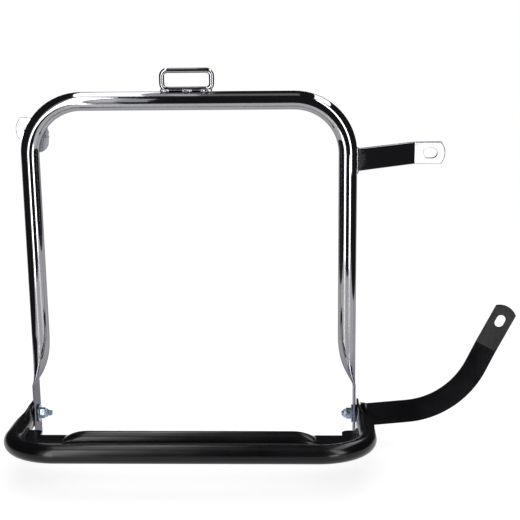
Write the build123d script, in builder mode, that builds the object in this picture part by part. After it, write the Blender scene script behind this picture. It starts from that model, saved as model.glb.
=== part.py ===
from build123d import *
import os
from math import cos, pi, radians, sin, sqrt

# Pannier frame for the right-hand side of a motorbike: a chromed hoop on a black tubular base.
# X runs forward, Y inward to the bike and Z up. The origin is the front upper fixing, at the middle of
# its slot on the tab's inner face. Sizes are in millimetres, angles in degrees.

# Hoop: one round tube, bent twice, with both lower ends pressed flat against their outer side
tube_wall = 1.2
hoop_tube = 18.0
leg_spacing = 310.0
hoop_height = 321.0
hoop_bend = 52.0
leg_press_start = 90.0
leg_press_end = 34.0
leg_tail = 31.0

# Base: a U of round tube with pressed arm ends, and a straight rail pressed flat at both ends
base_tube = 18.0
rail_reach = 130.0
rail_bend = 48.0
base_rise = 4.7
arm_press_start = 52.0
arm_press_end = 18.0
arm_offset = 3.5
base_shift = 2.0
arm_tail = 15.0
inner_tube = 18.0
inner_reach = 89.0
inner_flat = 40.0
inner_press = 26.0
ear_width = 15.0
ear_reach = 61.0
ear_corner = 7.0

# Strap loop: a closed ring of round wire on the hoop's top
loop_wire = 5.0
loop_width = 53.0
loop_height = 23.0
loop_corner = 5.5

# Upper brackets: flat bars that reach inward to the bike
bar_width = 22.0
bar_thickness = 4.0
bar_bend = 3.0
bar_end_radius = 17.0
fixing_reach = 84.0
fixing_inset = 47.0
fixing_drop = 59.5
front_tab_root = 16.0
front_tab_end = 15.0
rear_drop = 39.0
rear_tilt = 6.0
rear_foot = 16.5
rear_foot_corner = 9.0
rear_riser = 2.0
rear_inset = 75.5
rear_slot_reach = 14.6
rear_tab_end = 14.6
slot_width = 10.5
slot_length = 14.0
weld_seat = 0.4

# Lower strut: a flat bar on the front bolt, flanged at its foot and curved in its own plane
strut_width = 22.5
strut_thickness = 4.0
strut_bend = 3.0
strut_lean = 18.0
strut_flange_tail = 12.0
strut_rise = 5.0
strut_straight = 39.0
strut_radius = 88.0
strut_turn = 56.6
strut_upper = 21.5
strut_crease = 12.0
strut_crease_bend = 6.0
strut_slot_reach = 30.0
strut_tab_end = 16.5
strut_slot_width = 9.0
strut_slot_length = 13.0

# Fasteners: M6 bolts, lock nuts and large washers
bolt_size = 6.0
bolt_hole = 6.6
bolt_head_height = 4.0
hexagon = 10.0
hexagon_sides = 6
rear_bolt_length = 22.0
front_bolt_length = 25.0
bolt_chamfer = 0.8
hexagon_slope = 30.0
nut_height = 8.0
nut_hex_height = 5.2
nut_collar = 9.0
nut_collar_round = 1.2
thread_gap = 0.1
washer_size = 18.0
washer_hole = 6.4
washer_thickness = 1.6
head_room = 1.0

# Pressed ends: sections from round to flat, and the power that makes them close slowly, then steeply
press_steps = 5
press_power = 2.8

# Places that follow from the sizes above, measured from the origin or from the hoop's middle plane
flat_thickness = 2 * tube_wall
front_leg_x = -fixing_reach
hoop_x = front_leg_x - leg_spacing / 2
rear_leg_x = front_leg_x - leg_spacing
hoop_y = -fixing_inset
top_z = fixing_drop
bolt_z = top_z - hoop_height
leg_outer = leg_spacing / 2 + hoop_tube / 2
leg_inner = leg_outer - flat_thickness
arm_inner = leg_outer + washer_thickness
arm_middle = arm_inner + flat_thickness / 2
arm_outer = arm_inner + flat_thickness
arm_axis = arm_middle + arm_offset
strut_inner = arm_outer + washer_thickness
strut_outer = strut_inner + strut_thickness

rise = radians(base_rise)
lean = radians(strut_lean)
tilt = radians(rear_tilt)
bolt_centre = (hoop_x, hoop_y, bolt_z)
hoop_plane = Plane(origin=bolt_centre, x_dir=(1, 0, 0), z_dir=(0, -1, 0))
base_centre = (hoop_x + base_shift, hoop_y, bolt_z)
base_plane = Plane(origin=base_centre, x_dir=(1, 0, 0), z_dir=(0, sin(rise), cos(rise)))
strut_plane = Plane(origin=bolt_centre, x_dir=(1, 0, 0), z_dir=(0, -cos(lean), sin(lean)))
os.makedirs("parts", exist_ok=True)


def pressed_width(diameter):
    """Width of a tube of this diameter once its walls are pressed together."""
    return pi * (diameter / 2 - tube_wall) + flat_thickness


def pressed_section(plane, diameter, share, shift):
    """Section of a tube on its way from round, at share 0, to flat, at share 1, moved by shift in y."""
    radius = diameter / 2
    straight = pi * (radius - tube_wall) / 2
    half_turn = straight / radius
    corner_x = (1 - share) * radius * sin(half_turn) + share * straight
    corner_y = (1 - share) * radius * cos(half_turn) + share * tube_wall
    crown = (1 - share) * radius + share * tube_wall
    edge = (1 - share) * radius + share * (straight + tube_wall)
    outline = []
    with BuildLine(plane):
        for face in (1, -1):
            left = (-face * corner_x, shift + face * corner_y)
            right = (face * corner_x, shift + face * corner_y)
            turned = (face * corner_x, shift - face * corner_y)
            middle = (0, shift + face * crown)
            outline.append(ThreePointArc(left, middle, right) if share < 1 else Line(left, right))
            outline.append(ThreePointArc(right, (face * edge, shift), turned))
    return Face(Wire(outline))


def press_flat(start, diameter, length, shift, flat_run):
    """Carry a tube on from the start plane: pressed from round to flat over length, then flat_run of flat."""
    sections = []
    for step in range(press_steps + 1):
        run = step / press_steps
        share = run**press_power
        sections.append(pressed_section(start.offset(run * length), diameter, share, share * shift))
    loft(sections)
    extrude(sections[-1], amount=flat_run, dir=start.z_dir)


def round_end(end, width, radius):
    """Cut a flat end to an arc. The end plane's x axis runs out along the bar, from the arc's crown."""
    height = radius - sqrt(radius**2 - (width / 2) ** 2)
    with BuildSketch(end) as corners:
        with Locations((-height / 2, 0)):
            Rectangle(height, 2 * width)
        with Locations((-radius, 0)):
            Circle(radius, mode=Mode.SUBTRACT)
    extrude(corners.sketch, amount=width, both=True, mode=Mode.SUBTRACT)


def drill(face, size):
    """Drill a hole at the face plane's origin, through the flat that it lies in."""
    with BuildSketch(face) as hole:
        Circle(size / 2)
    extrude(hole.sketch, amount=hoop_tube, both=True, mode=Mode.SUBTRACT)


def cut_slot(face, length, width):
    """Cut a slot at the face plane's origin, along the plane's x axis."""
    with BuildSketch(face) as opening:
        SlotOverall(length, width)
    extrude(opening.sketch, amount=bar_width, both=True, mode=Mode.SUBTRACT)


# Hoop
with BuildPart() as hoop:
    with BuildLine(hoop_plane) as hoop_line:
        FilletPolyline(
            (-leg_spacing / 2, leg_press_start),
            (-leg_spacing / 2, hoop_height),
            (leg_spacing / 2, hoop_height),
            (leg_spacing / 2, leg_press_start),
            radius=hoop_bend,
        )
    with BuildSketch(Plane(origin=hoop_line.line @ 0, z_dir=hoop_line.line % 0)):
        Circle(hoop_tube / 2)
    sweep()
    for side in (-1, 1):
        leg_x = hoop_x + side * leg_spacing / 2
        leg_shift = side * (hoop_tube / 2 - tube_wall)
        leg_start = Plane(origin=(leg_x, hoop_y, bolt_z + leg_press_start), x_dir=(0, 1, 0), z_dir=(0, 0, -1))
        press_flat(leg_start, hoop_tube, leg_press_start - leg_press_end, leg_shift, leg_press_end + leg_tail)
        leg_end_point = (leg_x + leg_shift, hoop_y, bolt_z - leg_tail)
        leg_end = Plane(origin=leg_end_point, x_dir=(0, 0, -1), z_dir=(1, 0, 0))
        round_end(leg_end, pressed_width(hoop_tube), bar_end_radius)
        drill(Plane(origin=(leg_x + leg_shift, hoop_y, bolt_z), z_dir=(1, 0, 0)), bolt_hole)
hoop.part.label = "hoop"
export_step(hoop.part, "parts/hoop.step")

# Strap loop, seated on the hoop's top
loop_base = hoop_height + hoop_tube / 2 + loop_wire / 2 - weld_seat
loop_top = loop_base + loop_height - loop_wire
loop_half = (loop_width - loop_wire) / 2
with BuildPart() as strap_loop:
    with BuildLine(hoop_plane) as loop_line:
        FilletPolyline(
            (-loop_half, loop_base),
            (loop_half, loop_base),
            (loop_half, loop_top),
            (-loop_half, loop_top),
            radius=loop_corner,
            close=True,
        )
    with BuildSketch(Plane(origin=loop_line.line @ 0, z_dir=loop_line.line % 0)):
        Circle(loop_wire / 2)
    sweep()
    add(hoop.part, mode=Mode.SUBTRACT)
strap_loop.part.label = "strap_loop"
export_step(strap_loop.part, "parts/strap_loop.step")

# Front upper bracket: coped against the front leg, slanted inward, then bent to a tab along X
front_tab = Plane(origin=(0, -bar_thickness / 2, 0), x_dir=(1, 0, 0), z_dir=(0, 1, 0))
with BuildPart() as front_upper_bracket:
    with BuildSketch(Plane.XY):
        with BuildLine():
            FilletPolyline(
                (front_leg_x, hoop_y),
                (-front_tab_root, -bar_thickness / 2),
                (front_tab_end, -bar_thickness / 2),
                radius=bar_bend + bar_thickness / 2,
            )
        trace(line_width=bar_thickness)
    extrude(amount=bar_width / 2, both=True)
    round_end(front_tab.shift_origin((front_tab_end, -bar_thickness / 2, 0)), bar_width, bar_end_radius)
    cut_slot(front_tab, slot_length, slot_width)
    add(hoop.part, mode=Mode.SUBTRACT)
front_upper_bracket.part.label = "front_upper_bracket"
export_step(front_upper_bracket.part, "parts/front_upper_bracket.step")

# Rear upper bracket: foot on the back of the hoop's bend, riser inward, tab to the rear
rear_origin = (rear_leg_x, hoop_y, top_z - rear_drop)
rear_back = (-cos(tilt), 0, sin(tilt))
rear_plane = Plane(origin=rear_origin, x_dir=rear_back, z_dir=(-sin(tilt), 0, -cos(tilt)))
foot_y = hoop_tube / 2 - weld_seat + bar_thickness / 2
rear_tab_y = rear_inset - bar_thickness / 2
rear_end = rear_slot_reach + rear_tab_end
with BuildPart() as rear_upper_bracket:
    with BuildSketch(rear_plane):
        with BuildLine():
            FilletPolyline(
                (-rear_foot, foot_y),
                (rear_riser, foot_y),
                (rear_riser, rear_tab_y),
                (rear_end, rear_tab_y),
                radius=bar_bend + bar_thickness / 2,
            )
        trace(line_width=bar_thickness)
    extrude(amount=bar_width / 2, both=True)
    foot_corners = edges().filter_by(Axis.Y).sort_by(Axis(rear_origin, rear_back))[:2]
    fillet(foot_corners, radius=rear_foot_corner)
    rear_end_point = rear_plane.from_local_coords((rear_end, rear_tab_y, 0))
    round_end(Plane(origin=rear_end_point, x_dir=rear_back, z_dir=(0, 1, 0)), bar_width, bar_end_radius)
    rear_slot_point = rear_plane.from_local_coords((rear_slot_reach, rear_tab_y, 0))
    cut_slot(Plane(origin=rear_slot_point, x_dir=rear_back, z_dir=(0, 1, 0)), slot_length, slot_width)
    add(hoop.part, mode=Mode.SUBTRACT)
rear_upper_bracket.part.label = "rear_upper_bracket"
export_step(rear_upper_bracket.part, "parts/rear_upper_bracket.step")

# Outer rail: a U whose two arms end in upright flats outside the hoop's legs
rail_corners = (
    (-arm_axis, -arm_press_start),
    (-arm_axis, -rail_reach),
    (arm_axis, -rail_reach),
    (arm_axis, -arm_press_start),
)
with BuildPart() as outer_rail:
    with BuildLine(base_plane) as rail_line:
        FilletPolyline(*rail_corners, radius=rail_bend)
    with BuildSketch(Plane(origin=rail_line.line @ 0, z_dir=rail_line.line % 0)):
        Circle(base_tube / 2)
    sweep()
    for side in (-1, 1):
        arm_origin = base_plane.from_local_coords((side * arm_axis, -arm_press_start, 0))
        arm_start = Plane(origin=arm_origin, x_dir=base_plane.z_dir, z_dir=base_plane.y_dir)
        arm_shift = -side * arm_offset - base_shift
        press_flat(arm_start, base_tube, arm_press_start - arm_press_end, arm_shift, arm_press_end + arm_tail)
        arm_end_point = base_plane.from_local_coords((side * arm_middle - base_shift, arm_tail, 0))
        arm_end = Plane(origin=arm_end_point, x_dir=base_plane.y_dir, z_dir=(1, 0, 0))
        round_end(arm_end, pressed_width(base_tube), bar_end_radius)
        drill(Plane(origin=(hoop_x + side * arm_middle, hoop_y, bolt_z), z_dir=(1, 0, 0)), bolt_hole)
outer_rail.part.label = "outer_rail"
export_step(outer_rail.part, "parts/outer_rail.step")

# Inner rail: its flats lie level, with an ear at each end, kept inside the U and coped against its arms
inner_round = arm_axis - base_tube / 2 - inner_flat - inner_press
ear_depth = inner_reach - ear_reach
with BuildPart() as inner_rail:
    inner_middle = base_plane.from_local_coords((0, -inner_reach, 0))
    with BuildSketch(Plane(origin=inner_middle, z_dir=(1, 0, 0))):
        Circle(inner_tube / 2)
    extrude(amount=inner_round, both=True)
    for side in (-1, 1):
        inner_origin = base_plane.from_local_coords((side * inner_round, -inner_reach, 0))
        inner_start = Plane(origin=inner_origin, x_dir=base_plane.y_dir, z_dir=(side, 0, 0))
        press_flat(inner_start, inner_tube, inner_press, 0, inner_flat + base_tube / 2)
    with BuildSketch(base_plane):
        for side in (-1, 1):
            with Locations((side * arm_axis, -inner_reach)):
                RectangleRounded(base_tube + 2 * ear_width, 2 * ear_depth, ear_corner)
        Rectangle(2 * arm_axis, 2 * inner_reach, align=(Align.CENTER, Align.MAX), mode=Mode.INTERSECT)
        with Locations((0, -inner_reach)):
            Rectangle(2 * arm_axis, 2 * inner_reach, align=(Align.CENTER, Align.MIN), mode=Mode.INTERSECT)
    extrude(amount=flat_thickness / 2, both=True)
    with BuildSketch(base_plane):
        with BuildLine():
            FilletPolyline(*rail_corners, radius=rail_bend)
            Line(rail_corners[-1], rail_corners[0])
        make_face()
    extrude(amount=inner_tube, both=True, mode=Mode.INTERSECT)
    add(outer_rail.part, mode=Mode.SUBTRACT)
inner_rail.part.label = "inner_rail"
export_step(inner_rail.part, "parts/inner_rail.step")

# Lower strut: flange on the front bolt, body curved in its own plane, tab creased outward
strut_mid_radius = strut_bend + strut_thickness / 2
strut_offset = washer_size / 2 + head_room + strut_mid_radius
flange_x = strut_inner + strut_thickness / 2
body_x = flange_x + strut_mid_radius
flange_width = strut_width / cos(radians(strut_rise))
body_plane = strut_plane.offset(strut_offset)
with BuildPart() as lower_strut:
    with BuildSketch(Plane(origin=bolt_centre, x_dir=(1, 0, 0), z_dir=-strut_plane.y_dir)):
        with BuildLine():
            flange_line = Line((flange_x, -strut_flange_tail), (flange_x, strut_offset - strut_mid_radius))
            JernArc(flange_line @ 1, flange_line % 1, strut_mid_radius, -90)
        trace(line_width=strut_thickness)
    extrude(amount=flange_width / 2, both=True)
    flange_end_point = strut_plane.from_local_coords((flange_x, 0, -strut_flange_tail))
    flange_end = Plane(origin=flange_end_point, x_dir=-strut_plane.z_dir, z_dir=(1, 0, 0))
    round_end(flange_end, flange_width, bar_end_radius)
    drill(Plane(origin=(hoop_x + flange_x, hoop_y, bolt_z), z_dir=(1, 0, 0)), bolt_hole)
    with BuildSketch(body_plane):
        with BuildLine() as body_line:
            start = Vector(body_x, 0) - Vector(strut_width, 0).rotate(Axis.Z, strut_rise)
            foot = PolarLine(start, strut_width + strut_straight, strut_rise)
            curve = JernArc(foot @ 1, foot % 1, strut_radius, strut_turn)
            PolarLine(curve @ 1, strut_upper / 2, strut_rise + strut_turn)
        trace(line_width=strut_width)
        with Locations((body_x, 0)):
            Rectangle(2 * strut_width, 2 * strut_width, align=(Align.MAX, Align.CENTER), mode=Mode.SUBTRACT)
    extrude(amount=strut_thickness / 2, both=True)
    tab_origin = body_plane.from_local_coords(body_line.line @ 1)
    tab_along = body_plane.from_local_coords((body_line.line @ 1) + (body_line.line % 1)) - tab_origin
    tab_side = Plane(origin=tab_origin, x_dir=tab_along, z_dir=tab_along.cross(body_plane.z_dir))
    with BuildSketch(tab_side):
        with BuildLine() as tab_line:
            crease = (strut_upper / 2, 0)
            tab_run = Vector(strut_slot_reach + strut_tab_end, 0).rotate(Axis.Z, strut_crease)
            tab_tip = Vector(crease) + tab_run
            FilletPolyline((0, 0), crease, tab_tip, radius=strut_crease_bend + strut_thickness / 2)
        trace(line_width=strut_thickness)
    extrude(amount=strut_width / 2, both=True)
    tab_dir = (tab_side.from_local_coords(tab_line.line % 1) - tab_origin).normalized()
    tab_normal = tab_dir.cross(tab_side.z_dir)
    tab_end_point = tab_side.from_local_coords(tab_line.line @ 1)
    round_end(Plane(origin=tab_end_point, x_dir=tab_dir, z_dir=tab_normal), strut_width, bar_end_radius)
    tab_slot_point = tab_end_point - tab_dir * strut_tab_end
    tab_slot = Plane(origin=tab_slot_point, x_dir=tab_dir, z_dir=tab_normal)
    cut_slot(tab_slot, strut_slot_length, strut_slot_width)
lower_strut.part.label = "lower_strut"
export_step(lower_strut.part, "parts/lower_strut.step")


def outward(side, distance):
    """Plane across a bolt axis, at this distance from the hoop's middle, with its z axis pointing outward."""
    return Plane(origin=(hoop_x + side * distance, hoop_y, bolt_z), x_dir=(0, side, 0), z_dir=(side, 0, 0))


def break_corners(face):
    """Turn the corners off a hexagon whose end face is this plane."""
    slope = radians(hexagon_slope)
    with BuildSketch(Plane(origin=face.origin, x_dir=face.x_dir, z_dir=-face.y_dir)) as ring:
        with BuildLine():
            depth = hexagon / 2 * sin(slope) / cos(slope)
            Polyline((hexagon / 2, 0), (hexagon, 0), (hexagon, -depth), close=True)
        make_face()
    revolve(ring.sketch, axis=Axis(face.origin, face.z_dir), mode=Mode.SUBTRACT)


def make_washer(label, side, inner_face):
    """Flat washer whose inner face is this far from the hoop's middle."""
    with BuildPart() as washer:
        with BuildSketch(outward(side, inner_face)):
            Circle(washer_size / 2)
            Circle(washer_hole / 2, mode=Mode.SUBTRACT)
        extrude(amount=washer_thickness)
    washer.part.label = label
    export_step(washer.part, f"parts/{label}.step")


def make_bolt(label, side, head_face, length):
    """Hexagon bolt whose head bears at this distance and whose shank points inward."""
    with BuildPart() as bolt:
        with BuildSketch(outward(side, head_face)):
            RegularPolygon(hexagon / 2, hexagon_sides, major_radius=False)
        extrude(amount=bolt_head_height)
        break_corners(outward(side, head_face + bolt_head_height))
        with BuildSketch(outward(side, head_face)):
            Circle(bolt_size / 2)
        extrude(amount=-length)
        tip = edges().filter_by(GeomType.CIRCLE).sort_by(Axis((0, 0, 0), (side, 0, 0)))[0]
        chamfer(tip, length=bolt_chamfer)
    bolt.part.label = label
    export_step(bolt.part, f"parts/{label}.step")


def make_nut(label, side, washer_face):
    """Lock nut that bears at this distance: a hexagon with a rounded collar on its free end."""
    with BuildPart() as nut:
        with BuildSketch(outward(side, washer_face)):
            RegularPolygon(hexagon / 2, hexagon_sides, major_radius=False)
        extrude(amount=-nut_hex_height)
        break_corners(outward(-side, nut_hex_height - washer_face))
        with BuildSketch(outward(side, washer_face)):
            Circle(nut_collar / 2)
        extrude(amount=-nut_height)
        rim = edges().filter_by(GeomType.CIRCLE).sort_by(Axis((0, 0, 0), (side, 0, 0)))[0]
        fillet(rim, radius=nut_collar_round)
        with BuildSketch(outward(side, washer_face)):
            Circle(bolt_size / 2 + thread_gap)
        extrude(amount=-nut_height, mode=Mode.SUBTRACT)
    nut.part.label = label
    export_step(nut.part, f"parts/{label}.step")


# Rear joint, from the nut outward
make_nut("rear_nut", -1, leg_inner - washer_thickness)
make_washer("rear_nut_washer", -1, leg_inner - washer_thickness)
make_washer("rear_spacer_washer", -1, leg_outer)
make_washer("rear_head_washer", -1, arm_outer)
make_bolt("rear_bolt", -1, arm_outer + washer_thickness, rear_bolt_length)

# Front joint, from the nut outward
make_nut("front_nut", 1, leg_inner - washer_thickness)
make_washer("front_nut_washer", 1, leg_inner - washer_thickness)
make_washer("front_spacer_washer", 1, leg_outer)
make_washer("front_strut_washer", 1, arm_outer)
make_washer("front_head_washer", 1, strut_outer)
make_bolt("front_bolt", 1, strut_outer + washer_thickness, front_bolt_length)
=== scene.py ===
from math import cos, pi, radians, sin, tan

import bmesh
import bpy
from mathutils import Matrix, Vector


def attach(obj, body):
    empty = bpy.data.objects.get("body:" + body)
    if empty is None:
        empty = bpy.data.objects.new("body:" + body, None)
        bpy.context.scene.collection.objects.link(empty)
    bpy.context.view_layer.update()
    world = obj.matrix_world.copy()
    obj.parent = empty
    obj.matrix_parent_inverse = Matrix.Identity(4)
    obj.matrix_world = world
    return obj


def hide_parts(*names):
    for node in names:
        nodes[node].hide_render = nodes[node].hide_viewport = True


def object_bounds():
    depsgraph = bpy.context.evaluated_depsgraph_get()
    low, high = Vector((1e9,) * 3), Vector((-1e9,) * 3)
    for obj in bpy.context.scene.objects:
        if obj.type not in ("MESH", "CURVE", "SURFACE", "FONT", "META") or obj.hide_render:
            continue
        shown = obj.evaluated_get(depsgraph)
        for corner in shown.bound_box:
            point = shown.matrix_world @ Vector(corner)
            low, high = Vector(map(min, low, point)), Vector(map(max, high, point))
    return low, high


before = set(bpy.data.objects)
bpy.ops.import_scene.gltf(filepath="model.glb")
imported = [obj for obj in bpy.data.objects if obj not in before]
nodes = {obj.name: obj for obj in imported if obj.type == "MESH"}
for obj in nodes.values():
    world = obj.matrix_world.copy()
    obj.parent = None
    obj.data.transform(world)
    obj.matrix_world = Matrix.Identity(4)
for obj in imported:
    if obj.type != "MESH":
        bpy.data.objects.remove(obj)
cad_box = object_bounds()
MM = 0.001  # the sizes of the pieces are in mm, those of the studio in metres

# Hoop: one steel tube, bent to an upside-down U, with both lower ends pressed flat and drilled.
# It is polished and then plated with nickel and bright chromium, so it mirrors the room round it.
CHROME = "#99999d"
CHROME_HAZE = "#8e8e93"
CHROME_SLANT = "#b6b6b9"
# grey painted on the pressed ends: painted shade for their darker reflection
PRESS_PAINTED_SHADE = "#72727a"
PRESS_HEIGHT_MM = (-228.0, -192.0)
PRESS_ROUGHNESS = 0.12
POLISH_WAVE_MM = 26.0
POLISH_WAVE_DEPTH_MM = 0.4
POLISH_GRAIN_MM = 0.9
POLISH_ROUGHNESS = (0.03, 0.07)
PLATED_EDGE_MM = 0.5


def linear(colour):
    """A sRGB hex colour as linear red, green, blue and alpha."""
    parts = [int(colour[i:i + 2], 16) / 255 for i in (1, 3, 5)]
    return [p / 12.92 if p <= 0.04045 else ((p + 0.055) / 1.055) ** 2.4 for p in parts] + [1.0]


def add_node(tree, kind, inputs=None, **settings):
    """Adds one node. An input is a plain value, or another node's output, which is linked."""
    node = tree.nodes.new(kind)
    for name, value in settings.items():
        setattr(node, name, value)
    for name, value in (inputs or {}).items():
        if isinstance(value, bpy.types.NodeSocket):
            tree.links.new(value, node.inputs[name])
        else:
            node.inputs[name].default_value = value
    return node


def new_finish(name):
    """A material with a surface shader, and the tree and the place on the piece that its pattern reads."""
    material = bpy.data.materials.new(name)
    material.use_nodes = True
    tree = material.node_tree
    tree.nodes.clear()
    shader = add_node(tree, "ShaderNodeBsdfPrincipled")
    add_node(tree, "ShaderNodeOutputMaterial", {"Surface": shader.outputs["BSDF"]})
    place = add_node(tree, "ShaderNodeTexCoord").outputs["Object"]
    return material, tree, shader, place


def join_finish(tree, shader, tint, gloss, skin):
    """Links a finish's colour, roughness and relief to its shader."""
    tree.links.new(tint.outputs["Result"], shader.inputs["Base Color"])
    tree.links.new(gloss.outputs[0], shader.inputs["Roughness"])
    tree.links.new(skin.outputs["Normal"], shader.inputs["Normal"])


def dress(node, material):
    """Gives a CAD node this material."""
    slots = nodes[node].data.materials
    slots.clear()
    slots.append(material)


# Bright chromium is a cool grey mirror. The buffing leaves slow waves in it, and a haze of grain that is
# drawn coarser than it is, so that it shows. The wheel hardly reaches the pressed ends, so they are softer,
# and their colour is painted greyer there: painted shade for the darker reflection that the flat ends show.
chrome, tree, shader, place = new_finish("bright_chromium_plate")
wave = add_node(tree, "ShaderNodeTexNoise", {
    "Vector": place, "Scale": 1 / (POLISH_WAVE_MM * MM), "Detail": 3.0,
})
grain = add_node(tree, "ShaderNodeTexNoise", {
    "Vector": place, "Scale": 1 / (POLISH_GRAIN_MM * MM), "Detail": 2.0,
})
height = add_node(tree, "ShaderNodeSeparateXYZ", {"Vector": place})
pressed = add_node(tree, "ShaderNodeMapRange", {
    "Value": height.outputs["Z"], "To Min": 1.0, "To Max": 0.0,
    "From Min": PRESS_HEIGHT_MM[0] * MM, "From Max": PRESS_HEIGHT_MM[1] * MM,
})
tint = add_node(tree, "ShaderNodeMix", {
    "Factor": wave.outputs["Fac"], "A": linear(CHROME), "B": linear(CHROME_HAZE),
}, data_type="RGBA")
# Painted shade: below the pressed height the chrome is painted greyer, for the darker reflection of the
# flat ends.
tint = add_node(tree, "ShaderNodeMix", {
    "Factor": pressed.outputs["Result"], "A": tint.outputs["Result"], "B": linear(PRESS_PAINTED_SHADE),
}, data_type="RGBA")
gloss = add_node(tree, "ShaderNodeMapRange", {
    "Value": grain.outputs["Fac"], "From Min": 0.35, "From Max": 0.75,
    "To Min": POLISH_ROUGHNESS[0], "To Max": POLISH_ROUGHNESS[1],
})
gloss = add_node(tree, "ShaderNodeMath", {
    0: pressed.outputs["Result"], 1: PRESS_ROUGHNESS, 2: gloss.outputs["Result"],
}, operation="MULTIPLY_ADD")
edge = add_node(tree, "ShaderNodeBevel", {"Radius": PLATED_EDGE_MM * MM}, samples=4)
skin = add_node(tree, "ShaderNodeBump", {
    "Height": wave.outputs["Fac"], "Strength": 0.05, "Distance": POLISH_WAVE_DEPTH_MM * MM,
    "Normal": edge.outputs["Normal"],
})
shader.inputs["Metallic"].default_value = 1.0
shader.inputs["Specular Tint"].default_value = linear(CHROME_SLANT)
join_finish(tree, shader, tint, gloss, skin)
dress("hoop", chrome)

# Strap loop: a closed ring of 5 mm wire for a strap or a cord, standing on the middle of the hoop's top.
# Three short welds on each side hold it, and it is plated together with the hoop.
HOOP_X = -239.0
HOOP_Y = -47.0
HOOP_TOP = 68.5
SPOTS = ((-21.0, 7.0), (0.5, 8.0), (18.5, 9.0))  # middle from the hoop's middle, length
SPOT_SIDE = 2.7
SPOT_RISE = 1.0
SPOT_RADIUS = 1.75
WELD_HAZE = "#86868c"
WELD_GRAIN_MM = 1.1
WELD_PIT_MM = 0.35
WELD_ROUGHNESS = (0.1, 0.3)
RIPPLE_SIZES = (0.82, 1.1)  # smallest and largest, as shares of the bead's radius
RIPPLE_SPACING = 0.6  # share of the bead's radius
RIPPLE_SHARE = 0.62  # a ripple's length along the joint as a share of its width
LUMP_HEIGHT = 0.45  # share of the bead's radius
LUMP_MM = 1.6
FUSE_MM = 0.32

# Weld metal is plated unpolished, so it is a lumpy and greyer mirror, with pits between the ripples.
weld_chrome, tree, shader, place = new_finish("chromium_plate_on_weld")
grain = add_node(tree, "ShaderNodeTexNoise", {
    "Vector": place, "Scale": 1 / (WELD_GRAIN_MM * MM), "Detail": 4.0,
})
tint = add_node(tree, "ShaderNodeMix", {
    "Factor": grain.outputs["Fac"], "A": linear(CHROME), "B": linear(WELD_HAZE),
}, data_type="RGBA")
gloss = add_node(tree, "ShaderNodeMapRange", {
    "Value": grain.outputs["Fac"], "From Min": 0.35, "From Max": 0.7,
    "To Min": WELD_ROUGHNESS[0], "To Max": WELD_ROUGHNESS[1],
})
skin = add_node(tree, "ShaderNodeBump", {
    "Height": grain.outputs["Fac"], "Strength": 0.5, "Distance": WELD_PIT_MM * MM,
})
shader.inputs["Metallic"].default_value = 1.0
join_finish(tree, shader, tint, gloss, skin)

# A weld bead: ripples of metal set one after another along the joint, each a squeezed drop.
bead_tree = bpy.data.node_groups.new("weld_bead", "GeometryNodeTree")
bead_tree.interface.new_socket("Joint", in_out="INPUT", socket_type="NodeSocketGeometry")
bead_inputs = {}
for name, kind in (
    ("Bead Radius", "NodeSocketFloat"),
    ("Ripple Spacing", "NodeSocketFloat"),
    ("Ripple Share", "NodeSocketFloat"),
    ("Lump Height", "NodeSocketFloat"),
    ("Seed", "NodeSocketInt"),
    ("Finish", "NodeSocketMaterial"),
):
    bead_inputs[name] = bead_tree.interface.new_socket(name, in_out="INPUT", socket_type=kind).identifier
bead_tree.interface.new_socket("Bead", in_out="OUTPUT", socket_type="NodeSocketGeometry")
given = add_node(bead_tree, "NodeGroupInput").outputs
joint = add_node(bead_tree, "GeometryNodeMeshToCurve", {"Mesh": given["Joint"]})
drops = add_node(bead_tree, "GeometryNodeCurveToPoints", {
    "Curve": joint.outputs["Curve"], "Length": given["Ripple Spacing"],
}, mode="LENGTH")
drop = add_node(bead_tree, "GeometryNodeMeshIcoSphere", {"Radius": given["Bead Radius"], "Subdivisions": 3})
size = add_node(bead_tree, "FunctionNodeRandomValue", {
    2: RIPPLE_SIZES[0], 3: RIPPLE_SIZES[1], "Seed": given["Seed"],
}, data_type="FLOAT")
short = add_node(bead_tree, "ShaderNodeMath", {
    0: size.outputs[1], 1: given["Ripple Share"],
}, operation="MULTIPLY")
squeeze = add_node(bead_tree, "ShaderNodeCombineXYZ", {
    "X": size.outputs[1], "Y": size.outputs[1], "Z": short.outputs[0],
})
row = add_node(bead_tree, "GeometryNodeInstanceOnPoints", {
    "Points": drops.outputs["Points"], "Instance": drop.outputs["Mesh"],
    "Rotation": drops.outputs["Rotation"], "Scale": squeeze.outputs["Vector"],
})
solid = add_node(bead_tree, "GeometryNodeRealizeInstances", {"Geometry": row.outputs["Instances"]})
lumps = add_node(bead_tree, "ShaderNodeTexNoise", {"Scale": 1 / (LUMP_MM * MM), "Detail": 2.0})
swell = add_node(bead_tree, "ShaderNodeMath", {0: lumps.outputs["Fac"], 1: 0.5}, operation="SUBTRACT")
swell = add_node(bead_tree, "ShaderNodeMath", {
    0: swell.outputs[0], 1: given["Lump Height"],
}, operation="MULTIPLY")
outward = add_node(bead_tree, "GeometryNodeInputNormal")
push = add_node(bead_tree, "ShaderNodeVectorMath", {
    0: outward.outputs["Normal"], "Scale": swell.outputs[0],
}, operation="SCALE")
lumpy = add_node(bead_tree, "GeometryNodeSetPosition", {
    "Geometry": solid.outputs["Geometry"], "Offset": push.outputs["Vector"],
})
plated = add_node(bead_tree, "GeometryNodeSetMaterial", {
    "Geometry": lumpy.outputs["Geometry"], "Material": given["Finish"],
})
add_node(bead_tree, "NodeGroupOutput", {"Bead": plated.outputs["Geometry"]})


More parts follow.
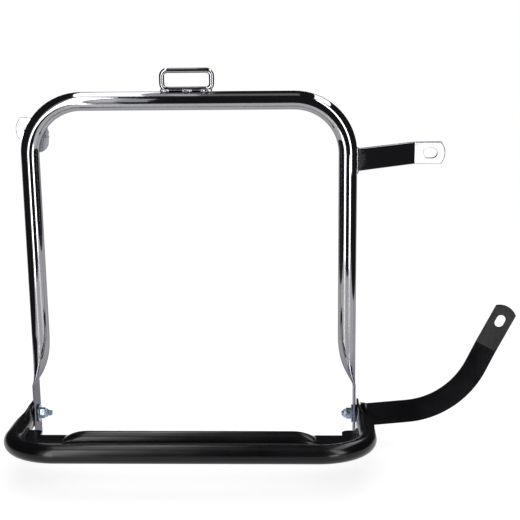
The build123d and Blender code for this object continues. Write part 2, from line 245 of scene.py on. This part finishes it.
def weld(name, joints, radius, material, seed):
    """Lays a bead along each joint, a list of points in mm, and fuses the ripples to one skin."""
    mesh = bpy.data.meshes.new(name)
    points = [Vector(p) * MM for line in joints for p in line]
    edges = []
    first = 0
    for line in joints:
        edges += [(first + i, first + i + 1) for i in range(len(line) - 1)]
        first += len(line)
    mesh.from_pydata(points, edges, [])
    path = bpy.data.objects.new(name + "_path", mesh)
    bpy.context.scene.collection.objects.link(path)
    ripples = path.modifiers.new("ripples", "NODES")
    ripples.node_group = bead_tree
    for key, value in (
        ("Bead Radius", radius * MM),
        ("Ripple Spacing", RIPPLE_SPACING * radius * MM),
        ("Ripple Share", RIPPLE_SHARE),
        ("Lump Height", LUMP_HEIGHT * radius * MM),
        ("Seed", seed),
        ("Finish", material),
    ):
        ripples[bead_inputs[key]] = value
    fuse = path.modifiers.new("fuse", "REMESH")
    fuse.mode = "VOXEL"
    fuse.voxel_size = FUSE_MM * MM
    fuse.use_smooth_shade = True
    settle = path.modifiers.new("settle", "SMOOTH")
    settle.factor = 0.5
    settle.iterations = 2
    bead_mesh = bpy.data.meshes.new_from_object(path.evaluated_get(bpy.context.evaluated_depsgraph_get()))
    bpy.data.objects.remove(path)
    bead_mesh.name = name
    bead_mesh.materials.clear()
    bead_mesh.materials.append(material)
    bead = bpy.data.objects.new(name, bead_mesh)
    bpy.context.scene.collection.objects.link(bead)
    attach(bead, "root")


dress("strap_loop", chrome)
loop_joints = []
for side in (-1, 1):
    for middle, length in SPOTS:
        loop_joints.append([
            (HOOP_X + middle + end * length / 2, HOOP_Y + side * SPOT_SIDE, HOOP_TOP + SPOT_RISE)
            for end in (-1, 1)
        ])
weld("strap_loop_welds", loop_joints, SPOT_RADIUS, weld_chrome, seed=3)

# Upper brackets: two bent flat bars, 22 by 4 mm, that hold the hoop to the bike by their slotted tabs.
# Each is welded to the hoop and plated with it, but the bar is only lightly buffed, and dull near its weld.
# At the rear foot, weld metal also fills up the corner between the foot's end and the tube.
LEG_X = -84.0
LEG_RADIUS = 9.0
BAR_WIDTH = 22.0
BAR_THICKNESS = 4.0
BAR_RUN = Vector((0.8339, 0.5519, 0.0))
BAR_NORMAL = Vector((-0.5519, 0.8339, 0.0))
BAR_GRAIN_MM = 0.7
BAR_GRAIN_DEPTH_MM = 0.1
BAR_ROUGHNESS = 0.06
BAR_GRAIN_ROUGHNESS = 0.08
BAR_EDGE_MM = 0.45
SEAM_RADIUS = 2.1
SEAM_OFF_FACE = 0.6
SEAM_OFF_EDGE = 0.5
BEND_CENTRE = Vector((-342.0, HOOP_Y, 7.5))
BEND_RADIUS = 52.0
FOOT_SEAM_RADIUS = 1.9
FOOT_SEAM_SIDES = (-5.0, 5.0)
FOOT_SEAM_TURNS = (0, 5, 10, 15, 20, 25, 29)
FOOT_SEAM_DEPTH = 7.9
FOOT_FILL_RADIUS = 2.5
FOOT_FILL = (
    ((-378.7, -37.0, 23.5), (-379.0, -37.4, 28.5), (-378.9, -39.6, 32.9)),
    ((-382.6, -37.0, 28.0), (-382.6, -38.8, 33.0)),
)
WELD_HEAT = (
    # node, middle of its weld, reach of the dull zone round it, roughness, grey and metal share there
    ("front_upper_bracket", (-77.0, -42.5, 0.0), (9.0, 15.0), 0.25, "#74747c", 1.0),
    ("rear_upper_bracket", (-387.0, -36.0, 18.0), (20.0, 34.0), 0.6, "#b6b9c4", 0.15),
)
# Each tab's sheared end gets a painted dark line: painted shade for the dark room that its edge would
# mirror.
CUT_ENDS = {
    # node: middle of the round of its cut end, and the way that the end points
    "front_upper_bracket": ((-2.0, -2.0, 0.0), (1.0, 0.0, 0.0)),
    "rear_upper_bracket": ((-406.1, 26.5, 21.8), (-0.9945, 0.0, 0.1045)),
}
CUT_END_PAINTED_SHADE = "#101012"
CUT_RING_MM = (16.3, 16.5)  # distance from that middle where the dark line starts and is full
CUT_REACH_MM = (6.0, 9.0)  # distance ahead of that middle where the line starts and is full


def round_edges(node, width):
    """Breaks the sharp edges of a CAD node's bar, as its rolling mill and its finish do."""
    join = nodes[node].modifiers.new("join", "WELD")
    join.merge_threshold = 0.001 * MM
    edges = nodes[node].modifiers.new("edges", "BEVEL")
    edges.width = width * MM
    edges.segments = 3
    edges.limit_method = "ANGLE"
    edges.angle_limit = radians(40)
    flats = nodes[node].modifiers.new("flats", "WEIGHTED_NORMAL")
    flats.mode = "FACE_AREA"
    flats.weight = 60
    flats.keep_sharp = True


# The bars are a softer mirror than the tube, and their grain is drawn coarse too. Round the weld its heat
# leaves a grey zone, dull at the front and matt with scale at the rear. The sheared end of each tab has a
# painted dark line on its faces: painted shade for the dark room that its rolled-over edge would mirror.
bar_finishes = {}
for name, weld_at, dull_reach, dull_roughness, dull_grey, dull_metal in WELD_HEAT:
    bar_chrome, tree, shader, place = new_finish("lightly_buffed_chromium_" + name)
    wave = add_node(tree, "ShaderNodeTexNoise", {
        "Vector": place, "Scale": 1 / (POLISH_WAVE_MM * MM), "Detail": 3.0,
    })
    grain = add_node(tree, "ShaderNodeTexNoise", {
        "Vector": place, "Scale": 1 / (BAR_GRAIN_MM * MM), "Detail": 3.0,
    })
    away = add_node(tree, "ShaderNodeVectorMath", {0: place, 1: Vector(weld_at) * MM}, operation="DISTANCE")
    dull = add_node(tree, "ShaderNodeMapRange", {
        "Value": away.outputs["Value"], "To Min": 1.0, "To Max": 0.0,
        "From Min": dull_reach[0] * MM, "From Max": dull_reach[1] * MM,
    })
    end_round, end_way = CUT_ENDS[name]
    from_round = add_node(tree, "ShaderNodeVectorMath", {
        0: place, 1: Vector(end_round) * MM,
    }, operation="SUBTRACT")
    reach = add_node(tree, "ShaderNodeVectorMath", {0: from_round.outputs["Vector"]}, operation="LENGTH")
    ring = add_node(tree, "ShaderNodeMapRange", {
        "Value": reach.outputs["Value"], "From Min": CUT_RING_MM[0] * MM, "From Max": CUT_RING_MM[1] * MM,
    })
    ahead = add_node(tree, "ShaderNodeVectorMath", {
        0: from_round.outputs["Vector"], 1: end_way,
    }, operation="DOT_PRODUCT")
    cut = add_node(tree, "ShaderNodeMapRange", {
        "Value": ahead.outputs["Value"], "To Max": ring.outputs["Result"],
        "From Min": CUT_REACH_MM[0] * MM, "From Max": CUT_REACH_MM[1] * MM,
    })
    tint = add_node(tree, "ShaderNodeMix", {
        "Factor": wave.outputs["Fac"], "A": linear(CHROME), "B": linear(CHROME_HAZE),
    }, data_type="RGBA")
    tint = add_node(tree, "ShaderNodeMix", {
        "Factor": dull.outputs["Result"], "A": tint.outputs["Result"], "B": linear(dull_grey),
    }, data_type="RGBA")
    # Painted shade: a dark line painted along each tab's sheared end.
    tint = add_node(tree, "ShaderNodeMix", {
        "Factor": cut.outputs["Result"], "A": tint.outputs["Result"], "B": linear(CUT_END_PAINTED_SHADE),
    }, data_type="RGBA")
    gloss = add_node(tree, "ShaderNodeMapRange", {
        "Value": dull.outputs["Result"], "To Min": BAR_ROUGHNESS, "To Max": dull_roughness,
    })
    gloss = add_node(tree, "ShaderNodeMath", {
        0: grain.outputs["Fac"], 1: BAR_GRAIN_ROUGHNESS, 2: gloss.outputs["Result"],
    }, operation="MULTIPLY_ADD")
    metal = add_node(tree, "ShaderNodeMapRange", {
        "Value": dull.outputs["Result"], "To Min": 1.0, "To Max": dull_metal,
    })
    skin = add_node(tree, "ShaderNodeBump", {
        "Height": grain.outputs["Fac"], "Strength": 0.04, "Distance": BAR_GRAIN_DEPTH_MM * MM,
    })
    tree.links.new(metal.outputs["Result"], shader.inputs["Metallic"])
    join_finish(tree, shader, tint, gloss, skin)
    dress(name, bar_chrome)
    round_edges(name, BAR_EDGE_MM)
    bar_finishes[name] = bar_chrome

leg_axis = Vector((LEG_X, HOOP_Y, 0.0))
root_reach = (LEG_RADIUS**2 - (BAR_THICKNESS / 2) ** 2) ** 0.5
seam = []
for side, end in ((-1, -1), (-1, 1), (1, 1), (1, -1), (-1, -1)):
    corner = leg_axis + BAR_RUN * root_reach + BAR_NORMAL * side * (BAR_THICKNESS / 2 + SEAM_OFF_FACE)
    seam.append(corner + Vector((0.0, 0.0, end * (BAR_WIDTH / 2 + SEAM_OFF_EDGE))))
weld("front_bracket_weld", [seam], SEAM_RADIUS, weld_chrome, seed=5)

foot_joints = []
for offset in FOOT_SEAM_SIDES:
    line = []
    for turn in FOOT_SEAM_TURNS:
        out = Vector((-cos(radians(turn)), 0.0, sin(radians(turn))))
        line.append(BEND_CENTRE + out * (BEND_RADIUS + offset) + Vector((0.0, FOOT_SEAM_DEPTH, 0.0)))
    foot_joints.append(line)
weld("rear_bracket_weld", foot_joints, FOOT_SEAM_RADIUS, weld_chrome, seed=8)
foot_finish = bar_finishes["rear_upper_bracket"]
weld("rear_foot_weld", FOOT_FILL, FOOT_FILL_RADIUS, foot_finish, seed=13)

# Base rails: a U of 18 mm steel tube and a straight rail across it, both with pressed ends.
# They are welded together and coated in black polyester powder, sprayed on dry and melted in an oven,
# over the welds too.
COAT_BLACK = "#0a0a0c"
COAT_DUST = "#131317"
COAT_PEEL_MM = 1.6
COAT_PEEL_DEPTH_MM = 0.1
COAT_CLOUD_MM = 34.0
COAT_ROUGHNESS = (0.17, 0.25)
COAT_SPECULAR = 0.25
COAT_EDGE_MM = 0.6
BASE_MIDDLE = Vector((-237.0, HOOP_Y, -261.5))
BASE_RISE = radians(4.7)
ARM_SIDE = 161.2
CORNER_SIDE = 122.3
CORNER_START = 82.0
CORNER_RADIUS = 38.9
EAR_END = 60.5
EAR_FACE = 1.7
EAR_SEAM_TURNS = (10, 20, 31)
EAR_SEAM_RADIUS = 1.9

# Baked powder flows out to a satin skin with a fine orange peel, and dust lightens it in soft clouds.
powder_coat, tree, shader, place = new_finish("black_powder_coat")
peel = add_node(tree, "ShaderNodeTexNoise", {
    "Vector": place, "Scale": 1 / (COAT_PEEL_MM * MM), "Detail": 2.0,
})
clouds = add_node(tree, "ShaderNodeTexNoise", {
    "Vector": place, "Scale": 1 / (COAT_CLOUD_MM * MM), "Detail": 4.0,
})
tint = add_node(tree, "ShaderNodeMix", {
    "Factor": clouds.outputs["Fac"], "A": linear(COAT_BLACK), "B": linear(COAT_DUST),
}, data_type="RGBA")
gloss = add_node(tree, "ShaderNodeMapRange", {
    "Value": clouds.outputs["Fac"], "From Min": 0.3, "From Max": 0.7,
    "To Min": COAT_ROUGHNESS[0], "To Max": COAT_ROUGHNESS[1],
})
edge = add_node(tree, "ShaderNodeBevel", {"Radius": COAT_EDGE_MM * MM}, samples=4)
skin = add_node(tree, "ShaderNodeBump", {
    "Height": peel.outputs["Fac"], "Strength": 0.12, "Distance": COAT_PEEL_DEPTH_MM * MM,
    "Normal": edge.outputs["Normal"],
})
shader.inputs["Specular IOR Level"].default_value = COAT_SPECULAR
join_finish(tree, shader, tint, gloss, skin)
for node in ("outer_rail", "inner_rail"):
    dress(node, powder_coat)

ear_seam = [(ARM_SIDE, EAR_END), (ARM_SIDE, CORNER_START)]
for turn in EAR_SEAM_TURNS:
    ear_seam.append((CORNER_SIDE + CORNER_RADIUS * cos(radians(turn)),
                     CORNER_START + CORNER_RADIUS * sin(radians(turn))))
rail_joints = []
for side in (-1, 1):
    for face in (-EAR_FACE, EAR_FACE):
        rail_joints.append([
            BASE_MIDDLE + Vector((side * across, -reach * cos(BASE_RISE) + face * sin(BASE_RISE),
                                  reach * sin(BASE_RISE) + face * cos(BASE_RISE)))
            for across, reach in ear_seam
        ])
weld("inner_rail_welds", rail_joints, EAR_SEAM_RADIUS, powder_coat, seed=11)

# Lower strut: flat steel bar, flanged at its foot, curved in its own plane and creased at its slotted tab.
# It is powder coated black like the rails, and the front bolt clamps it.
dress("lower_strut", powder_coat)
round_edges("lower_strut", BAR_EDGE_MM)

# Fasteners: an M6 hexagon bolt, a lock nut and large washers at each leg, clamping the rails to the hoop.
# They are forged and stamped steel with bright zinc plating, passivated to a cold blue.
# A nylon ring in the nut's collar grips the thread.
BOLT_Z = -261.5
NUT_FACE = 160.0
LEG_FACE = 164.0
ARM_FACE = 168.0
STRUT_FACE = 173.6
HALF_HEX = 5.0
HEX_SLOPE = tan(radians(30))
HEAD_HEIGHT = 4.0
HEAD_BREAK = 0.15
HEAD_TOP = ((0.9, 0.12), (0.6, 0.0), (0.15, 0.0))  # inset from the hexagon's sides, drop below the top
HEAD_SKIRT = 0.3
HEAD_FOOT = ((0.3, 0.25), (0.35, 0.0))  # inset from the hexagon's sides, rise above the bearing face
NECK_INSET = 0.1
CREST_RADIUS = 3.0
THREAD_START = 0.6
THREAD_DEPTH = 0.55
THREAD_PITCH = 1.0
THREAD_STEP = 0.125
THREAD_FLANK = 1.3
TIP_CHAMFER = 0.8
NUT_HEX_HEIGHT = 5.2
NUT_HEIGHT = 8.0
NUT_BREAK = 0.1
NUT_FOOT_INSET = 0.3
NUT_FOOT_SLOPE = 0.5 * HEX_SLOPE
BORE_RADIUS = 3.1
COLLAR_RADIUS = 4.5
COLLAR_ROOT = ((-0.1, 0.1), (0.0, 0.35))  # inset from the collar's side, drop below the hexagon
COLLAR_LIP = (  # inset from the collar's side, rise above its end
    (0.0, 1.2), (0.1, 0.7), (0.4, 0.25), (0.75, 0.0), (0.95, 0.1), (1.0, 2.4),
)
RING_SEAT = 2.5
RING_RADIUS = COLLAR_RADIUS - 1.0
RING_BORE = CREST_RADIUS + 0.03
RING_MOUTH = CREST_RADIUS + 0.2
RING_DEPTH = 2.35
RING_RIMS = (0.3, 0.32, 0.6)  # depth of its outer rim, of its mouth and of its bore
WASHER_RADIUS = 9.0
WASHER_BORE = 3.2
WASHER_THICKNESS = 1.6
WASHER_BREAK = 0.1
WASHER_BURR = 0.05
WASHER_ROLL = ((0.5, 0.0), (0.2, 0.1), (0.0, 0.45))  # inset from the rim, drop below the rolled side
TURN_STEPS = 72
SHARP_ANGLE = 32
ZINC = "#a3aebd"
ZINC_DULL = "#7f8a9a"
ZINC_CLOUD_MM = 2.6
ZINC_RELIEF_MM = 0.1
ZINC_ROUGHNESS = (0.27, 0.42)
NYLON = "#c9d2dc"
NYLON_DULL = "#b4bfca"
NYLON_CLOUD_MM = 0.8
NYLON_ROUGHNESS = (0.35, 0.5)

# Zinc plate is a soft mirror with faint clouds; the passivation gives it a blue cast.
zinc, tree, shader, place = new_finish("blue_passivated_zinc")
clouds = add_node(tree, "ShaderNodeTexNoise", {
    "Vector": place, "Scale": 1 / (ZINC_CLOUD_MM * MM), "Detail": 4.0,
})
tint = add_node(tree, "ShaderNodeMix", {
    "Factor": clouds.outputs["Fac"], "A": linear(ZINC), "B": linear(ZINC_DULL),
}, data_type="RGBA")
gloss = add_node(tree, "ShaderNodeMapRange", {
    "Value": clouds.outputs["Fac"], "From Min": 0.3, "From Max": 0.7,
    "To Min": ZINC_ROUGHNESS[0], "To Max": ZINC_ROUGHNESS[1],
})
skin = add_node(tree, "ShaderNodeBump", {
    "Height": clouds.outputs["Fac"], "Strength": 0.1, "Distance": ZINC_RELIEF_MM * MM,
})
shader.inputs["Metallic"].default_value = 1.0
join_finish(tree, shader, tint, gloss, skin)

# Moulded nylon is a pale, waxy plastic with a soft sheen and faint milky clouds.
nylon, tree, shader, place = new_finish("natural_nylon")
clouds = add_node(tree, "ShaderNodeTexNoise", {
    "Vector": place, "Scale": 1 / (NYLON_CLOUD_MM * MM), "Detail": 2.0,
})
tint = add_node(tree, "ShaderNodeMix", {
    "Factor": clouds.outputs["Fac"], "A": linear(NYLON), "B": linear(NYLON_DULL),
}, data_type="RGBA")
gloss = add_node(tree, "ShaderNodeMapRange", {
    "Value": clouds.outputs["Fac"], "To Min": NYLON_ROUGHNESS[0], "To Max": NYLON_ROUGHNESS[1],
})
tree.links.new(tint.outputs["Result"], shader.inputs["Base Color"])
tree.links.new(gloss.outputs["Result"], shader.inputs["Roughness"])


def hexagon(angle):
    """Distance from a hexagon's axis to its side, with a corner at angle 0."""
    return HALF_HEX / cos(angle % (pi / 3) - pi / 6)


def turned(name, node, side, shells, materials):
    """A piece turned about a bolt axis, in place of a CAD node. A shell is its rows of radius and reach,
    whether it closes on itself, and its material. A radius or reach may be a function of the turn angle."""
    bm = bmesh.new()
    for rows, closed, index in shells:
        rings = []
        for radius, reach in rows:
            ring = []
            for step in range(TURN_STEPS):
                angle = 2 * pi * step / TURN_STEPS
                r = radius(angle) if callable(radius) else radius
                a = reach(angle) if callable(reach) else reach
                point = Vector((HOOP_X + side * a, HOOP_Y + r * cos(angle), BOLT_Z + r * sin(angle)))
                ring.append(bm.verts.new(point * MM))
            rings.append(ring)
        pairs = list(zip(rings, rings[1:]))
        if closed:
            pairs.append((rings[-1], rings[0]))
        faces = []
        for one, two in pairs:
            for i in range(TURN_STEPS):
                j = (i + 1) % TURN_STEPS
                faces.append(bm.faces.new((one[i], one[j], two[j], two[i])))
        if not closed:
            faces += [bm.faces.new(rings[0]), bm.faces.new(rings[-1])]
        for face in faces:
            face.material_index = index
            face.smooth = True
    bmesh.ops.remove_doubles(bm, verts=bm.verts, dist=0.0005 * MM)
    bmesh.ops.recalc_face_normals(bm, faces=bm.faces)
    mesh = bpy.data.meshes.new(name)
    bm.to_mesh(mesh)
    bm.free()
    mesh.set_sharp_from_angle(angle=radians(SHARP_ANGLE))
    for material in materials:
        mesh.materials.append(material)
    obj = bpy.data.objects.new(name, mesh)
    bpy.context.scene.collection.objects.link(obj)
    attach(obj, "root")
    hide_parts(node)


def bolt_rows(face, length):
    """Rows of a fully threaded hexagon bolt, from its head's top to its tip. Its head bears on face."""
    top = face + HEAD_HEIGHT
    rows = [(HALF_HEX - inset, top - drop) for inset, drop in HEAD_TOP]
    rows.append((hexagon, lambda angle: top - (hexagon(angle) - HALF_HEX + HEAD_BREAK) * HEX_SLOPE))
    rows.append((hexagon, face + HEAD_SKIRT))
    rows += [(HALF_HEX - inset, face + rise) for inset, rise in HEAD_FOOT]
    rows.append((CREST_RADIUS - NECK_INSET, face))
    tip = face - length
    for step in range(int(round((length - THREAD_START) / THREAD_STEP)) + 1):
        reach = face - THREAD_START - step * THREAD_STEP
        limit = CREST_RADIUS - max(0.0, TIP_CHAMFER - (reach - tip))

        def ridge(angle, reach=reach, limit=limit):
            """The thread's radius at this angle, cut down by the chamfer at the tip."""
            share = (reach / THREAD_PITCH + angle / (2 * pi)) % 1.0
            crest = min(1.0, THREAD_FLANK * (1 - abs(2 * share - 1)))
            return min(limit, CREST_RADIUS - THREAD_DEPTH * (1 - crest))

        rows.append((ridge, reach))
    return rows


def nut_rows(face):
    """Rows of a lock nut's steel, closed round its bore. It bears on face, with its collar inward."""
    free = face - NUT_HEX_HEIGHT
    end = face - NUT_HEIGHT
    return [
        (BORE_RADIUS, face),
        (HALF_HEX - NUT_FOOT_INSET, face),
        (hexagon, lambda angle: face - NUT_BREAK - (hexagon(angle) - HALF_HEX) * NUT_FOOT_SLOPE),
        (hexagon, lambda angle: free + (hexagon(angle) - HALF_HEX + NUT_BREAK) * HEX_SLOPE),
        (HALF_HEX - NUT_BREAK, free),
        *[(COLLAR_RADIUS - inset, free - drop) for inset, drop in COLLAR_ROOT],
        *[(COLLAR_RADIUS - inset, end + rise) for inset, rise in COLLAR_LIP],
        (BORE_RADIUS, end + RING_SEAT),
    ]


def ring_rows(face):
    """Rows of a nut's nylon ring, pressed into its collar."""
    end = face - NUT_HEIGHT
    rim, mouth, bore = RING_RIMS
    return [
        (RING_RADIUS, end + rim),
        (RING_RADIUS, end + RING_DEPTH),
        (RING_BORE, end + RING_DEPTH),
        (RING_BORE, end + bore),
        (RING_MOUTH, end + mouth),
    ]


def washer_rows(face):
    """Rows of a stamped washer: its outer rim is rolled over on one side and sharp on the other."""
    back = face + WASHER_THICKNESS
    return [
        (WASHER_BORE, face),
        (WASHER_BORE, back - WASHER_BREAK),
        (WASHER_BORE + WASHER_BREAK, back),
        *[(WASHER_RADIUS - inset, back - drop) for inset, drop in WASHER_ROLL],
        (WASHER_RADIUS, face + WASHER_BURR),
        (WASHER_RADIUS - WASHER_BURR, face),
    ]


for leg, side, bolt_length, washers in (
    ("rear", -1, 22.0, (("nut", NUT_FACE), ("spacer", LEG_FACE), ("head", ARM_FACE))),
    ("front", 1, 25.0, (
        ("nut", NUT_FACE), ("spacer", LEG_FACE), ("strut", ARM_FACE), ("head", STRUT_FACE),
    )),
):
    head_face = washers[-1][1] + WASHER_THICKNESS
    bolt_shell = (bolt_rows(head_face, bolt_length), False, 0)
    turned(f"{leg}_hexagon_bolt", f"{leg}_bolt", side, [bolt_shell], [zinc])
    nut_shells = [(nut_rows(NUT_FACE), True, 0), (ring_rows(NUT_FACE), True, 1)]
    turned(f"{leg}_lock_nut", f"{leg}_nut", side, nut_shells, [zinc, nylon])
    for part, face in washers:
        washer_shell = (washer_rows(face), True, 0)
        turned(f"{leg}_{part}_flat_washer", f"{leg}_{part}_washer", side, [washer_shell], [zinc])

# Studio: a lacquered white table, soft boxes on both sides of the camera, strips overhead and low panels
# at the back, in a room painted black. Two small cards light one piece each. The room and the lights are
# what the chrome mirrors; the camera sees only the table and the white background.
WHITE = "#ffffff"
TABLE_WHITE = "#d0d0d0"
TABLE_LIFT = 0.70
TABLE_ROUGHNESS = 0.36
TABLE_LOW = (-0.69, -0.70)
TABLE_HIGH = (0.44, 0.9)
TABLE_GAP = 0.0002
WORLD_FILL = 0.62
ROOM_LOW = (-2.4, -2.6, -1.6)
ROOM_HIGH = (2.1, 2.6, 2.4)
ROOM_BLACK = "#39393b"
SOFT_BOXES = (
    # name, one lower corner, the other lower corner, height, radiance
    ("left_soft_box", (-0.486, -0.874, -0.6), (-0.584, -0.610, -0.6), 1.62, 8.0),
    ("right_low_box", (0.327, -0.681, -0.6), (0.213, -0.899, -0.6), 0.46, 8.0),
    ("right_high_box", (0.41, -0.52, -0.14), (0.31, -0.71, -0.14), 1.16, 7.0),
    ("left_spill", (-0.450, -1.0, -0.6), (-0.640, -0.49, -0.6), 1.62, 0.6),
    ("right_spill", (0.390, -0.58, -0.6), (0.170, -1.0, -0.6), 0.46, 0.4),
    ("left_fade_box", (-0.38, -0.90, 0.0), (-0.47, -0.87, 0.0), 0.6, 0.8),
    ("low_back_panel", (-2.2, 2.5, -1.2), (1.9, 2.5, -1.2), 0.78, 0.9),
    ("left_back_panel", (-2.3, 1.5, -1.2), (-2.3, 2.45, -1.2), 0.78, 0.9),
    ("right_back_panel", (2.0, 2.45, -1.2), (2.0, 1.7, -1.2), 0.78, 0.9),
)
CARDS = (
    # the one piece that it lights, then as above
    ("front_upper_bracket", "tab_card", (0.31, -2.2, -0.45), (0.16, -2.2, -0.45), 0.12, 5.5),
    ("lower_strut", "strut_card", (0.03, -2.2, -0.33), (-0.08, -2.2, -0.33), 0.14, 16.0),
)
TOP_STRIPS = (
    # name, x range, y range, height, radiance
    ("left_top_strip", (-0.65, -0.41), (-0.47, 1.9), 1.06, 4.0),
    ("left_top_fade", (-0.41, -0.31), (-0.47, 1.9), 1.06, 0.8),
    ("right_top_strip", (0.3, 0.8), (-0.47, 1.9), 1.06, 4.0),
    ("top_panel", (-0.41, 0.02), (-0.75, 0.15), 1.5, 0.3),
)
CEILING_PLACE = (-0.17, -0.1, 1.5)
CEILING_SIZE = 1.6
CEILING_RADIANCE = 0.35
CAMERA_PLACE = (-0.13047, -1.23607, 0.2114)
CAMERA_TURN = (75.3696, 0.619, 1.7657)
CAMERA_LENS_MM = 85.71
CAMERA_SENSOR_MM = 36.0
UP = Vector((0, 0, 1))
DOWN = Vector((0, 0, -1))


def stage_piece(name, corners, faces):
    """A stage object made of these corners and faces, with an empty material tree for its paint."""
    mesh = bpy.data.meshes.new(name)
    mesh.from_pydata([Vector(c) for c in corners], [], faces)
    obj = bpy.data.objects.new(name, mesh)
    bpy.context.scene.collection.objects.link(obj)
    paint = bpy.data.materials.new(name + "_paint")
    paint.use_nodes = True
    paint.node_tree.nodes.clear()
    mesh.materials.append(paint)
    return obj, paint.node_tree


def seen_rays(tree):
    """1 for rays from the camera, from mirrors and through glass, 0 for rays that carry light."""
    path = add_node(tree, "ShaderNodeLightPath").outputs
    mirrored = add_node(tree, "ShaderNodeMath", {
        0: path["Is Camera Ray"], 1: path["Is Glossy Ray"],
    }, operation="MAXIMUM")
    return add_node(tree, "ShaderNodeMath", {
        0: mirrored.outputs[0], 1: path["Is Transmission Ray"],
    }, operation="MAXIMUM").outputs[0]


def soft_light(name, width, length, radiance, place, facing):
    """A flat lamp of this size and brightness that the camera doesn't see."""
    lamp = bpy.data.lights.new(name, "AREA")
    lamp.shape = "RECTANGLE"
    lamp.size = width
    lamp.size_y = length
    lamp.energy = radiance * pi * width * length
    obj = bpy.data.objects.new(name, lamp)
    obj.location = place
    obj.rotation_euler = facing.to_track_quat("-Z", "Y").to_euler()
    obj.visible_camera = False
    bpy.context.scene.collection.objects.link(obj)
    return obj


def upright_light(name, first, second, height, radiance):
    """A soft light that stands on the line between two lower corners, for mirrors alone."""
    first = Vector(first)
    second = Vector(second)
    across = second - first
    middle = (first + second) / 2 + UP * height / 2
    light = soft_light(name, across.length, height, radiance, middle, across.cross(UP))
    light.visible_diffuse = False
    return light


# The table's white paint under clear lacquer is bright and even, with a soft sheen of what stands on it.
table_z = cad_box[0][2] - TABLE_GAP
(x0, y0), (x1, y1) = TABLE_LOW, TABLE_HIGH
table_corners = [(x0, y0, table_z), (x1, y0, table_z), (x1, y1, table_z), (x0, y1, table_z)]
_, tree = stage_piece("white_table", table_corners, [(0, 1, 2, 3)])
lift = add_node(tree, "ShaderNodeMath", {0: seen_rays(tree), 1: TABLE_LIFT}, operation="MULTIPLY")
paint = add_node(tree, "ShaderNodeBsdfPrincipled", {
    "Base Color": linear(TABLE_WHITE), "Roughness": TABLE_ROUGHNESS,
})
glow = add_node(tree, "ShaderNodeEmission", {"Color": linear(WHITE), "Strength": lift.outputs[0]})
both = add_node(tree, "ShaderNodeAddShader", {0: paint.outputs[0], 1: glow.outputs[0]})
add_node(tree, "ShaderNodeOutputMaterial", {"Surface": both.outputs[0]})

# The room's black paint gives the chrome its dark streaks, and only mirrors see it.
(x0, y0, z0), (x1, y1, z1) = ROOM_LOW, ROOM_HIGH
room_corners = [(x, y, z) for x in (x0, x1) for y in (y0, y1) for z in (z0, z1)]
room_walls = [(0, 1, 3, 2), (4, 6, 7, 5), (0, 4, 5, 1), (2, 3, 7, 6), (0, 2, 6, 4), (1, 5, 7, 3)]
room, tree = stage_piece("black_room", room_corners, room_walls)
paint = add_node(tree, "ShaderNodeBsdfDiffuse", {"Color": linear(ROOM_BLACK)})
add_node(tree, "ShaderNodeOutputMaterial", {"Surface": paint.outputs[0]})
for ray in ("camera", "diffuse", "transmission", "volume_scatter", "shadow"):
    setattr(room, "visible_" + ray, False)

# The background is plain white to the camera and in mirrors, and gives the pieces an even, dimmer fill.
world = bpy.data.worlds.new("studio_white")
bpy.context.scene.world = world
world.use_nodes = True
tree = world.node_tree
tree.nodes.clear()
level = add_node(tree, "ShaderNodeMapRange", {
    "Value": seen_rays(tree), "To Min": WORLD_FILL, "To Max": 1.0,
})
sky = add_node(tree, "ShaderNodeBackground", {"Color": linear(WHITE), "Strength": level.outputs["Result"]})
add_node(tree, "ShaderNodeOutputWorld", {"Surface": sky.outputs[0]})

for soft_box in SOFT_BOXES:
    upright_light(*soft_box)
for lit_piece, *lamp_row in CARDS:
    card = upright_light(*lamp_row)
    receivers = bpy.data.collections.new("lit_by_" + card.name)
    receivers.objects.link(nodes[lit_piece])
    card.light_linking.receiver_collection = receivers
for name, across, along, height, radiance in TOP_STRIPS:
    middle = (sum(across) / 2, sum(along) / 2, height)
    strip = soft_light(name, across[1] - across[0], along[1] - along[0], radiance, middle, DOWN)
    strip.visible_diffuse = False
ceiling = soft_light("ceiling_light", CEILING_SIZE, CEILING_SIZE, CEILING_RADIANCE, CEILING_PLACE, DOWN)
ceiling.visible_glossy = False

lens = bpy.data.cameras.new("camera")
lens.sensor_width = CAMERA_SENSOR_MM
lens.lens = CAMERA_LENS_MM
camera = bpy.data.objects.new("camera", lens)
camera.location = CAMERA_PLACE
camera.rotation_euler = [radians(a) for a in CAMERA_TURN]
bpy.context.scene.collection.objects.link(camera)
bpy.context.scene.camera = camera
bpy.context.scene.view_settings.view_transform = "Standard"
